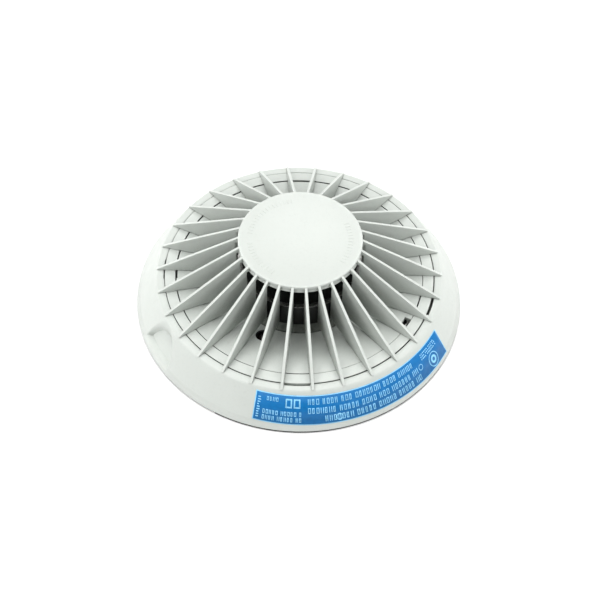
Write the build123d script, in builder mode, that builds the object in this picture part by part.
from build123d import *
import os
from math import cos, radians, sin

# Ceiling-type point heat detector, in millimetres. It stands with its ceiling side down:
# z = 0 is the plane it is mounted against, the axis is Z, and the origin is the centre of that
# plane. A finned head carries the sensing bead and twist-locks onto a mounting base.

# --- driving dimensions -------------------------------------------------------------------
FACE_Z = 15.0  # flat ring face that the fins stand on
TIP_R = 55.0  # circle through the fin tips
CAP_R = 23.4  # round cap that joins the fins
CAP_TOP = 35.2
CAP_SKIN = 1.6
CAP_RIM_WIDTH = 2.9  # hollow underside inside this rim
CAP_RIM_HEIGHT = 3.0
CAP_GROOVE = 0.35  # shallow groove round the rim
CAP_BORDER = 0.15  # raised border at the edge of the top
TICK_GROUPS = ((-171, 12), (-34, 14), (101, 17))  # raised marks: first bearing, how many
TICK_STEP = 4.5
TICK_R = 18.9
TICK_SIZE = (1.9, 0.5, 0.25)
FIN_COUNT = 30
FIN_T = 1.05
FIN_DROP = 0.35  # fins start this far below the top of the cap and end this high above the face
SLIT = 0.3  # open joint line each side of the cage's seating ring
FIT = 0.05  # gap left between pieces that bear on each other

SHOULDER_R = 54.9  # skirt cone, from the shoulder down to its lower edge
SKIRT_R = 63.4
SKIRT_Z = 0.9
SKIRT_WALL = 2.3
SHOULDER_ROUND = 1.2
SHOULDER_T = 2.0
WALL_IN_R = 51.85  # inner tube of the skirt
WALL_OUT_R = 53.2

SEAT_IN_R = 47.75  # the cage's seating ring
SEAT_OUT_R = WALL_IN_R - SLIT
SEAT_Z = 12.8
HOOKS = ((-90, 0.2, 0.6), (-180, 0.4, 0.3), (-16.4, 0.3, 0.6), (90, 0.3, 0.1))  # bearing, notches
HOOK_IN_R = 48.7  # snap legs below the ring, each with a tooth turned inwards
HOOK_OUT_R = 50.1
HOOK_Z = 9.0
HOOK_WIDTH = 8  # degrees
TOOTH_R = 47.5
TOOTH_HEIGHT = 0.9
HOOK_NOTCH_WIDTH = 10.4  # degrees, notches in the deck and the skirt beside each hook

DECK_R = SEAT_IN_R - SLIT  # dished deck inside the seating ring
DISH_R = 41.2  # the dish starts here and falls towards the core
DISH_IN_R = 26.9
DISH_Z = 11.8
DECK_T = 1.6
BOSS_R = 2.6  # screw bosses under the deck
BOSS_PILOT_R = 1.25
SEAL_T = 0.6

CORE_R = 23.7  # black sensor housing in the middle
CORE_TOP = 23.5
CORE_WALL = 1.6
CORE_RECESS = 0.9  # top sunk inside the ring
COLLAR_RISE = 1.6  # the rubber collar climbs this far up the core
BEAD_Z = 28.4
BEAD_R = 1.9
BUSH_HEIGHT = 2.2
LEAD_X = 1.0
LEAD_R = 0.25
LEAD_TOP = BEAD_Z - 0.8

PLATE_Z = 0.6  # underside of the mounting base, on its gasket
PLATE_TOP = 2.4
HOUSING_Z = 6.0  # floor of the head's rear housing
HOUSING_FLOOR = 1.4
HOUSING_R = 44.6
FLANGE_Z = 10.0
FLANGE_TOP = 11.4
BOARD_Z = 8.2
BOARD_TOP = 9.8
BOARD_R = 42.0
HOUSING_WALL = 1.6

LUG_BEARINGS = (30, 150, 270)  # bayonet
LUG_WIDTH = 12
TWIST = 18  # degrees from locked to released
STOP_GAP = 0.4
STOP_WIDTH = 3
LIP_IN_R = 44.95  # the base's lips hold the head's lugs down
LIP_Z = 7.2
LIP_WIDTH = LUG_WIDTH + 6
RING_IN_R = 47.0
RING_OUT_R = 49.0
RING_TOP = 8.6

SCREW_CIRCLE_R = 38.0  # case screws at 0, 90, 180 and 270 degrees
CONTACT_R = 38.0  # contacts at 45, 135, 225 and 315 degrees
TERMINAL_SCREW_R = 29.0
STRIP_T = 0.6  # terminal strip
WASHER_SIZE = 6.0
WASHER_T = 0.7
SLOT_SPACING = 60.0  # two slotted fixing holes in the base
SLOT_LENGTH = 12.0
SLOT_WIDTH = 4.5
CABLE_HOLE_R = 9.0

LED_R = 31.8  # status lamp hole in the dish
LED_BEARING = -114.3
LED_HOLE_R = 2.9
LED_LENS_R = 2.2
WINDOW_BEARING = -29.3  # small window at the deck's edge, over a spring clip
WINDOW_IN_R = 45.0
WINDOW_WIDTH = 4.4
SCOOP_R = 9.5  # thumb scoop in the skirt
SCOOP_CENTRE_R = 65.0
SCOOP_BEARING = -150.3
SCOOP_FLOOR = 3.2
SCOOP_WALL = 1.6
RELIEF_BEARING = -147.0  # gasket set back around the thumb scoop
RELIEF_WIDTH = 57.0

LABEL_START = -105.3
LABEL_END = -25.2
LABEL_MIDDLE_Z = 7.95
LABEL_HEIGHT = 10.2
LABEL_TILT = 0.95  # degrees, higher at its left end
LABEL_T = 0.15
LABEL_GLUE = 0.02

LOW = (Align.CENTER, Align.CENTER, Align.MIN)  # a solid stands on its location


def polar(radius, bearing, height=0.0):
    """Point at a radius and bearing in degrees."""
    return (radius * cos(radians(bearing)), radius * sin(radians(bearing)), height)


def upright(bearing):
    """Vertical plane through the axis: x is the radius, y the height."""
    angle = radians(bearing)
    return Plane(origin=(0, 0, 0), x_dir=(cos(angle), sin(angle), 0), z_dir=(sin(angle), -cos(angle), 0))


def section(*points, bearing=0):
    """Closed outline of (radius, height) points on an upright plane."""
    with BuildSketch(upright(bearing)) as outline:
        with BuildLine():
            Polyline(*points, close=True)
        make_face()
    return outline.sketch


def sector(height, inner, outer, middle, width):
    """Piece of a flat ring, its middle at a bearing and its width in degrees."""
    with BuildSketch(Plane.XY.offset(height)) as piece:
        with BuildLine():
            near = CenterArc((0, 0), inner, middle - width / 2, width)
            far = CenterArc((0, 0), outer, middle - width / 2, width)
            Line(near @ 0, far @ 0)
            Line(near @ 1, far @ 1)
        make_face()
    return piece.sketch


def on_skirt(height, lift=0.0):
    """Point on the skirt's cone at a height, lifted off it along its normal."""
    slope = (SKIRT_R - SHOULDER_R) / (FACE_Z - SKIRT_Z)
    length = (1 + slope**2) ** 0.5
    radius = SKIRT_R - slope * (height - SKIRT_Z)
    return (radius + lift / length, height + lift * slope / length)


def dish(radius, drop=0.0):
    """Point on the deck's sloping floor, or a drop below it."""
    rise = (FACE_Z - DISH_Z) / (DISH_R - DISH_IN_R)
    return (radius, DISH_Z + rise * (radius - DISH_IN_R) - drop)


def save(piece, label):
    """Label a finished piece and write its STEP file."""
    piece.part.label = label
    export_step(piece.part, f"parts/{label}.step")


os.makedirs("parts", exist_ok=True)

# --- fin cage: cap, fins and seating ring in one moulding -----------------------------------
with BuildPart() as fin:
    extrude(
        section(
            (CAP_R - 1.4, CAP_TOP - 2.7),
            (CAP_R - 1.4, CAP_TOP - FIN_DROP),
            (CAP_R, CAP_TOP - FIN_DROP),
            (TIP_R, FACE_Z + FIN_DROP),
            (TIP_R, FACE_Z + FIT),
            (SEAT_OUT_R - 0.3, FACE_Z + FIT),
            (SEAT_OUT_R - 0.3, FACE_Z - 0.4),
            (SEAT_IN_R + 0.3, FACE_Z - 0.4),
            (SEAT_IN_R + 0.3, FACE_Z + FIT),
            (CORE_R + 0.7, FACE_Z + FIT),
            (CORE_R + 0.7, CAP_TOP - 2.7),
        ),
        amount=FIN_T / 2,
        both=True,
    )

with BuildPart() as fin_cage:
    revolve(
        section(
            (0, CAP_TOP - CAP_SKIN),
            (CAP_R - CAP_RIM_WIDTH, CAP_TOP - CAP_SKIN),
            (CAP_R - CAP_RIM_WIDTH, CAP_TOP - CAP_RIM_HEIGHT),
            (CAP_R, CAP_TOP - CAP_RIM_HEIGHT),
            (CAP_R, CAP_TOP - 2.4),
            (CAP_R - CAP_GROOVE, CAP_TOP - 2.2),
            (CAP_R - CAP_GROOVE, CAP_TOP - 1.3),
            (CAP_R, CAP_TOP - 1.1),
            (CAP_R, CAP_TOP - 0.3),
            (CAP_R - 0.3, CAP_TOP),
            (CAP_R - 1.3, CAP_TOP),
            (CAP_R - 1.5, CAP_TOP - CAP_BORDER),
            (0, CAP_TOP - CAP_BORDER),
        ),
        axis=Axis.Z,
    )
    revolve(
        section(
            (SEAT_IN_R, SEAT_Z),
            (SEAT_OUT_R, SEAT_Z),
            (SEAT_OUT_R, FACE_Z),
            (SEAT_IN_R, FACE_Z),
        ),
        axis=Axis.Z,
    )
    with PolarLocations(0, FIN_COUNT):
        add(fin.part)
    for bearing, _, _ in HOOKS:
        leg = sector(HOOK_Z, HOOK_IN_R, HOOK_OUT_R, bearing, HOOK_WIDTH)
        extrude(leg, amount=SEAT_Z + 0.5 - HOOK_Z)
        tooth = sector(HOOK_Z, TOOTH_R, HOOK_IN_R + 0.1, bearing, HOOK_WIDTH)
        extrude(tooth, amount=TOOTH_HEIGHT)
    # Plain raised ticks on the cap, where such a cap carries moulded marks.
    with Locations((0, 0, CAP_TOP - 2 * CAP_BORDER)):
        for first, count in TICK_GROUPS:
            with PolarLocations(TICK_R, count, first, count * TICK_STEP):
                Box(*TICK_SIZE, align=LOW)
save(fin_cage, "fin_cage")

# --- skirt cover with its thumb scoop -------------------------------------------------------
with BuildPart() as scoop_block:
    revolve(
        section((WALL_OUT_R, 2.35), on_skirt(2.35, -0.3), on_skirt(13.8, -0.3), (WALL_OUT_R, 13.8)),
        axis=Axis.Z,
    )
    with Locations(polar(SCOOP_CENTRE_R, SCOOP_BEARING)):
        Cylinder(SCOOP_R + SCOOP_WALL, 4 * FACE_Z, mode=Mode.INTERSECT)

with BuildPart() as skirt_cover:
    revolve(
        section(
            on_skirt(SKIRT_Z),
            (SHOULDER_R, FACE_Z),
            (WALL_IN_R, FACE_Z),
            (WALL_IN_R, SEAT_Z - FIT),
            (WALL_IN_R - 1.2, SEAT_Z - FIT),
            (WALL_IN_R - 1.2, FLANGE_TOP + FIT),
            (WALL_IN_R, FLANGE_TOP + FIT),
            (WALL_IN_R, RING_TOP),
            (WALL_OUT_R, RING_TOP),
            (WALL_OUT_R, FACE_Z - SHOULDER_T),
            (on_skirt(FACE_Z - SHOULDER_T)[0] - SKIRT_WALL, FACE_Z - SHOULDER_T),
            (SKIRT_R - SKIRT_WALL, SKIRT_Z),
        ),
        axis=Axis.Z,
    )
    shoulder = edges().filter_by_position(Axis.Z, FACE_Z - 0.01, FACE_Z + 0.01).sort_by(SortBy.RADIUS)[-1]
    fillet(shoulder, SHOULDER_ROUND)
    add(scoop_block.part)
    with Locations(polar(SCOOP_CENTRE_R, SCOOP_BEARING, SCOOP_FLOOR)):
        Cylinder(SCOOP_R, FACE_Z, align=LOW, mode=Mode.SUBTRACT)
    for bearing, _, notch in HOOKS:
        extrude(
            sector(FLANGE_TOP + FIT, WALL_IN_R - 0.1, WALL_IN_R + notch, bearing, HOOK_NOTCH_WIDTH),
            amount=FACE_Z,
            mode=Mode.SUBTRACT,
        )
save(skirt_cover, "skirt_cover")

# --- dished deck ----------------------------------------------------------------------------
with BuildPart() as sensor_deck:
    revolve(
        section(
            (DECK_R, FACE_Z),
            (DISH_R, FACE_Z),
            dish(DISH_IN_R),
            dish(DISH_IN_R, DECK_T),
            dish(DISH_R, DECK_T),
            (DECK_R - 1.6, FACE_Z - DECK_T),
            (DECK_R - 1.6, FLANGE_TOP + SEAL_T),
            (DECK_R, FLANGE_TOP + SEAL_T),
        ),
        axis=Axis.Z,
    )
    with Locations((0, 0, BOARD_TOP)):
        with PolarLocations(SCREW_CIRCLE_R, 4):
            Cylinder(BOSS_R, 3.1, align=LOW)
            Cylinder(BOSS_PILOT_R, 2.6, align=LOW, mode=Mode.SUBTRACT)
    with Locations(polar(LED_R, LED_BEARING)):
        Cylinder(LED_HOLE_R, 4 * FACE_Z, mode=Mode.SUBTRACT)
    extrude(
        sector(FLANGE_TOP, WINDOW_IN_R, DECK_R + 0.2, WINDOW_BEARING, WINDOW_WIDTH),
        amount=FACE_Z,
        mode=Mode.SUBTRACT,
    )
    for bearing, notch, _ in HOOKS:
        extrude(
            sector(FLANGE_TOP, DECK_R - notch, DECK_R + 0.2, bearing, HOOK_NOTCH_WIDTH),
            amount=FACE_Z,
            mode=Mode.SUBTRACT,
        )
save(sensor_deck, "sensor_deck")

with BuildPart() as deck_seal:
    revolve(
        section(
            (DECK_R - 1.5, FLANGE_TOP),
            (DECK_R - 0.1, FLANGE_TOP),
            (DECK_R - 0.1, FLANGE_TOP + SEAL_T),
            (DECK_R - 1.5, FLANGE_TOP + SEAL_T),
        ),
        axis=Axis.Z,
    )
    extrude(sector(FLANGE_TOP, 44, DECK_R, WINDOW_BEARING, 6), amount=1, mode=Mode.SUBTRACT)
save(deck_seal, "deck_seal")

# Spring clip behind the small window in the deck.
with BuildPart() as retaining_clip:
    extrude(
        section(
            (45.2, FLANGE_TOP),
            (47.2, FLANGE_TOP),
            (47.2, FLANGE_TOP + 0.3),
            (45.9, FLANGE_TOP + 0.3),
            (46.9, FLANGE_TOP + 2.6),
            (46.5, FLANGE_TOP + 2.7),
            (45.4, FLANGE_TOP + 0.3),
            (45.2, FLANGE_TOP + 0.3),
            bearing=WINDOW_BEARING,
        ),
        amount=1.2,
        both=True,
    )
save(retaining_clip, "retaining_clip")

# --- sensor core ----------------------------------------------------------------------------
with BuildPart() as core_housing:
    revolve(
        section(
            (0, CORE_TOP - 2.0),
            (CORE_R - CORE_WALL, CORE_TOP - 2.0),
            (CORE_R - CORE_WALL, BOARD_TOP),
            (DISH_IN_R - 0.25, BOARD_TOP),
            (DISH_IN_R - 0.25, BOARD_TOP + 1.0),
            (CORE_R, BOARD_TOP + 1.0),
            (CORE_R, CORE_TOP - 0.4),
            (CORE_R - 2.1, CORE_TOP - 0.4),
            (CORE_R - 2.1, CORE_TOP - CORE_RECESS),
            (0, CORE_TOP - CORE_RECESS),
        ),
        axis=Axis.Z,
    )
    with Locations((LEAD_X, 0), (-LEAD_X, 0)):
        Cylinder(0.45, 4 * CORE_TOP, mode=Mode.SUBTRACT)
save(core_housing, "core_housing")

with BuildPart() as core_ring:
    revolve(
        section(
            (CORE_R - 1.7, CORE_TOP - 0.4),
            (CORE_R - 0.1, CORE_TOP - 0.4),
            (CORE_R - 0.1, CORE_TOP),
            (CORE_R - 1.7, CORE_TOP),
        ),
        axis=Axis.Z,
    )
    for side in (-90, 90):
        for step in (-27, -14, 14, 27):
            extrude(sector(CORE_TOP - 0.2, CORE_R - 0.7, CORE_R, side + step, 5), amount=0.5)
save(core_ring, "core_ring")

with BuildPart() as sealing_collar:
    revolve(
        section(
            (CORE_R + 0.1, BOARD_TOP + 1.0),
            (DISH_IN_R - 0.35, BOARD_TOP + 1.0),
            (DISH_IN_R - 0.35, DISH_Z + 0.2),
            (DISH_IN_R - 0.75, DISH_Z + 0.4),
            (CORE_R + 0.1, DISH_Z + COLLAR_RISE),
        ),
        axis=Axis.Z,
    )
save(sealing_collar, "sealing_collar")

with BuildPart() as lead_bush:
    with BuildSketch(Plane.XY.offset(CORE_TOP - CORE_RECESS)):
        Circle(2.4)
        with Locations((LEAD_X, 0), (-LEAD_X, 0)):
            Circle(0.32, mode=Mode.SUBTRACT)
    extrude(amount=BUSH_HEIGHT, taper=6)
save(lead_bush, "lead_bush")

with BuildPart() as bead_leads:
    with Locations((LEAD_X, 0, BOARD_TOP), (-LEAD_X, 0, BOARD_TOP)):
        Cylinder(LEAD_R, LEAD_TOP - BOARD_TOP, align=LOW)
save(bead_leads, "bead_leads")

with BuildPart() as sensing_bead:
    with Locations((0, 0, BEAD_Z)):
        Sphere(BEAD_R)
    with Locations((0, 0, BEAD_Z - 1.6 * BEAD_R)):
        Cone(1.4, 1.7, BEAD_R, align=LOW)
    with Locations((LEAD_X, 0), (-LEAD_X, 0)):
        Cylinder(LEAD_R, 2 * LEAD_TOP, mode=Mode.SUBTRACT)
save(sensing_bead, "sensing_bead")

# --- status lamp ----------------------------------------------------------------------------
with BuildPart() as status_led:
    with Locations(polar(LED_R, LED_BEARING, BOARD_TOP)):
        Cylinder(LED_LENS_R, 0.8, align=LOW)
        Cylinder(LED_LENS_R + 0.3, 0.5, align=LOW)
    with Locations(polar(LED_R, LED_BEARING, BOARD_TOP + 0.8)):
        Sphere(LED_LENS_R)
    with Locations((0, 0, BOARD_TOP)):
        Cylinder(2 * BOARD_R, BOARD_TOP, align=(Align.CENTER, Align.CENTER, Align.MAX), mode=Mode.SUBTRACT)
save(status_led, "status_led")

with BuildPart() as led_bezel:
    with Locations(polar(LED_R, LED_BEARING, BOARD_TOP + 1.3)):
        Cylinder(LED_HOLE_R - 0.05, 1.4, align=LOW)
        Cylinder(LED_LENS_R + 0.1, 1.4, align=LOW, mode=Mode.SUBTRACT)
save(led_bezel, "led_bezel")

# --- circuit board and what it carries ------------------------------------------------------
with BuildPart() as circuit_board:
    with BuildSketch(Plane.XY.offset(BOARD_Z)):
        Circle(BOARD_R)
        with PolarLocations(SCREW_CIRCLE_R, 4):
            Circle(1.4, mode=Mode.SUBTRACT)
        with PolarLocations(CONTACT_R, 4, start_angle=45):
            Circle(1.0, mode=Mode.SUBTRACT)
    extrude(amount=BOARD_TOP - BOARD_Z)
save(circuit_board, "circuit_board")

with BuildPart() as chips:
    with Locations((0, 0, BOARD_TOP)):
        with PolarLocations(37.0, 3, start_angle=22, angular_range=135, endpoint=False):
            Box(3.9, 8.6, 1.5, align=LOW)
    with Locations((-2, -13, BOARD_TOP)):
        Box(6.2, 5.3, 1.7, align=LOW)
save(chips, "chips")

with BuildPart() as electrolytic_capacitors:
    with Locations((9, 9, BOARD_TOP), (-10, 8, BOARD_TOP)):
        Cylinder(4.0, 10.0, align=LOW)
    fillet(edges().filter_by(GeomType.CIRCLE).group_by(Axis.Z)[-1], 0.5)
save(electrolytic_capacitors, "electrolytic_capacitors")

with BuildPart() as film_capacitors:
    with Locations((10, -8, BOARD_TOP), (-12, -7, BOARD_TOP)):
        Box(3.5, 9, 7, align=LOW)
save(film_capacitors, "film_capacitors")

with BuildPart() as resistors:
    for row in range(4):
        with Locations((0, 4.0 + 2.2 * row, BOARD_TOP + 1.0)):
            Cylinder(0.8, 4.2, rotation=(0, 90, 0))
save(resistors, "resistors")

with BuildPart() as barrier_diodes:
    with Locations((0, 0, BOARD_TOP + 1.0)):
        with PolarLocations(38.0, 3, start_angle=238, angular_range=30, endpoint=False):
            Cylinder(0.9, 4.6, rotation=(90, 0, 0))
save(barrier_diodes, "barrier_diodes")

with BuildPart() as reference_thermistor:
    with Locations((0, 16.5, BOARD_TOP + 5.0)):
        Cylinder(1.6, 1.2, rotation=(90, 0, 0))
    with Locations((LEAD_X / 2, 16.5, BOARD_TOP), (-LEAD_X / 2, 16.5, BOARD_TOP)):
        Cylinder(0.25, 4.0, align=LOW)
save(reference_thermistor, "reference_thermistor")

# --- rear housing of the head ---------------------------------------------------------------
with BuildPart() as rear_housing:
    revolve(
        section(
            (0, HOUSING_Z),
            (HOUSING_R - HOUSING_WALL, HOUSING_Z),
            (HOUSING_R - HOUSING_WALL, HOUSING_Z - 1.2),
            (HOUSING_R, HOUSING_Z - 1.2),
            (HOUSING_R, FLANGE_Z),
            (WALL_IN_R - 0.25, FLANGE_Z),
            (WALL_IN_R - 0.25, FLANGE_TOP),
            (HOUSING_R - HOUSING_WALL, FLANGE_TOP),
            (HOUSING_R - HOUSING_WALL, HOUSING_Z + HOUSING_FLOOR),
            (0, HOUSING_Z + HOUSING_FLOOR),
        ),
        axis=Axis.Z,
    )
    with Locations((0, 0, HOUSING_Z + HOUSING_FLOOR)):
        with PolarLocations(SCREW_CIRCLE_R, 4):
            Cylinder(BOSS_R, BOARD_Z - HOUSING_Z - HOUSING_FLOOR, align=LOW)
    with PolarLocations(SCREW_CIRCLE_R, 4):
        Cylinder(1.4, 4 * FACE_Z, mode=Mode.SUBTRACT)
    with PolarLocations(CONTACT_R, 4, start_angle=45):
        Cylinder(1.0, 4 * FACE_Z, mode=Mode.SUBTRACT)
    for bearing in LUG_BEARINGS:
        extrude(sector(HOUSING_Z - 1.0, HOUSING_R - 0.2, 46.6, bearing, LUG_WIDTH), amount=1.9)
    for bearing, _, _ in HOOKS:
        extrude(
            sector(FLANGE_Z - 1, 48.3, 50.5, bearing, 9.5),
            amount=FLANGE_TOP,
            mode=Mode.SUBTRACT,
        )
save(rear_housing, "rear_housing")

with BuildPart() as case_screws:
    with Locations((0, 0, HOUSING_Z - 1.3)):
        with PolarLocations(SCREW_CIRCLE_R, 4):
            Cylinder(2.4, 1.3, align=LOW)
            Cylinder(1.2, 7.2, align=LOW)
            Box(0.6, 5, 0.6, align=LOW, mode=Mode.SUBTRACT)
            Box(5, 0.6, 0.6, align=LOW, mode=Mode.SUBTRACT)
    fillet(edges().filter_by(GeomType.CIRCLE).group_by(Axis.Z)[0], 0.2)
save(case_screws, "case_screws")

with BuildPart() as contact_blades:
    for quarter in range(4):
        extrude(sector(HOUSING_Z - 0.8, 35.5, 41.5, 45 + 90 * quarter, 14), amount=0.8)
save(contact_blades, "contact_blades")

with BuildPart() as contact_pins:
    with Locations((0, 0, HOUSING_Z)):
        with PolarLocations(CONTACT_R, 4, start_angle=45):
            Cylinder(0.9, BOARD_TOP + 0.7 - HOUSING_Z, align=LOW)
save(contact_pins, "contact_pins")

# --- rating label on the skirt --------------------------------------------------------------
with BuildPart() as rating_label:
    revolve(
        section(
            on_skirt(SKIRT_Z + 0.7, LABEL_GLUE),
            on_skirt(SKIRT_Z + 0.7, LABEL_T),
            on_skirt(FACE_Z - 0.6, LABEL_T),
            on_skirt(FACE_Z - 0.6, LABEL_GLUE),
            bearing=LABEL_START,
        ),
        axis=Axis.Z,
        revolution_arc=LABEL_END - LABEL_START,
    )
    label_middle = (LABEL_START + LABEL_END) / 2
    with Locations(Location((0, 0, LABEL_MIDDLE_Z), (0, 0, label_middle)) * Rotation(-LABEL_TILT, 0, 0)):
        Box(4 * SKIRT_R, 4 * SKIRT_R, LABEL_HEIGHT, mode=Mode.INTERSECT)
save(rating_label, "rating_label")

# --- mounting base --------------------------------------------------------------------------
with BuildPart() as mounting_base:
    revolve(
        section(
            (CABLE_HOLE_R, PLATE_Z),
            (60.0, PLATE_Z),
            (60.0, 2.0),
            (RING_OUT_R, 2.0),
            (RING_OUT_R, RING_TOP),
            (RING_IN_R, RING_TOP),
            (RING_IN_R, PLATE_TOP),
            (CABLE_HOLE_R, PLATE_TOP),
        ),
        axis=Axis.Z,
    )
    for bearing in LUG_BEARINGS:
        lip = sector(LIP_Z, LIP_IN_R, RING_IN_R + 0.2, bearing, LIP_WIDTH)
        extrude(lip, amount=RING_TOP - LIP_Z)
        locked_stop = bearing - LUG_WIDTH / 2 - STOP_GAP - STOP_WIDTH / 2
        open_stop = bearing + TWIST + LUG_WIDTH / 2 + STOP_GAP + STOP_WIDTH / 2
        for stop in (locked_stop, open_stop):
            block = sector(PLATE_TOP, LIP_IN_R, RING_IN_R + 0.2, stop, STOP_WIDTH)
            extrude(block, amount=RING_TOP - PLATE_TOP)
    with BuildSketch(Plane.XY):
        with Locations((SLOT_SPACING / 2, 0), (-SLOT_SPACING / 2, 0)):
            SlotOverall(SLOT_LENGTH, SLOT_WIDTH)
    extrude(amount=FACE_Z, mode=Mode.SUBTRACT)
    with Locations((0, 0, 1.0)):
        with PolarLocations(TERMINAL_SCREW_R, 4, start_angle=45):
            Cylinder(1.5, 4, align=LOW, mode=Mode.SUBTRACT)
save(mounting_base, "mounting_base")

with BuildPart() as base_gasket:
    revolve(section((52, 0), (63.2, 0), (63.2, 0.5), (62.6, PLATE_Z), (52, PLATE_Z)), axis=Axis.Z)
    extrude(sector(0, 60.8, 66, RELIEF_BEARING, RELIEF_WIDTH), amount=2, mode=Mode.SUBTRACT)
save(base_gasket, "base_gasket")

# Each terminal is a brass strip with a sprung tongue, a square clamp washer and a screw.
TONGUE = (
    (25.0, PLATE_TOP),
    (25.0, PLATE_TOP + STRIP_T),
    (33.3, PLATE_TOP + STRIP_T),
    (37.3, HOUSING_Z - 0.95),
    (40.5, HOUSING_Z - 0.95),
    (40.5, HOUSING_Z - 0.95 - STRIP_T),
    (37.5, HOUSING_Z - 0.95 - STRIP_T),
    (33.5, PLATE_TOP),
)
with BuildPart() as terminal_springs:
    for quarter in range(4):
        extrude(section(*TONGUE, bearing=45 + 90 * quarter), amount=3.0, both=True)
    with PolarLocations(TERMINAL_SCREW_R, 4, start_angle=45):
        Cylinder(1.6, 4 * FACE_Z, mode=Mode.SUBTRACT)
save(terminal_springs, "terminal_springs")

with BuildPart() as clamp_washers:
    with BuildSketch(Plane.XY.offset(PLATE_TOP + STRIP_T)):
        with PolarLocations(TERMINAL_SCREW_R, 4, start_angle=45):
            Rectangle(WASHER_SIZE, WASHER_SIZE)
            Circle(1.6, mode=Mode.SUBTRACT)
    extrude(amount=WASHER_T)
save(clamp_washers, "clamp_washers")

with BuildPart() as terminal_screws:
    with Locations((0, 0, 1.1)):
        with PolarLocations(TERMINAL_SCREW_R, 4, start_angle=45):
            Cylinder(1.4, 3.0, align=LOW)
    with Locations((0, 0, PLATE_TOP + STRIP_T + WASHER_T)):
        with PolarLocations(TERMINAL_SCREW_R, 4, start_angle=45):
            Cylinder(2.6, 1.6, align=LOW)
    with Locations((0, 0, PLATE_TOP + STRIP_T + WASHER_T + 1.0)):
        with PolarLocations(TERMINAL_SCREW_R, 4, start_angle=45):
            Box(0.7, 6, 1, align=LOW, mode=Mode.SUBTRACT)
save(terminal_screws, "terminal_screws")
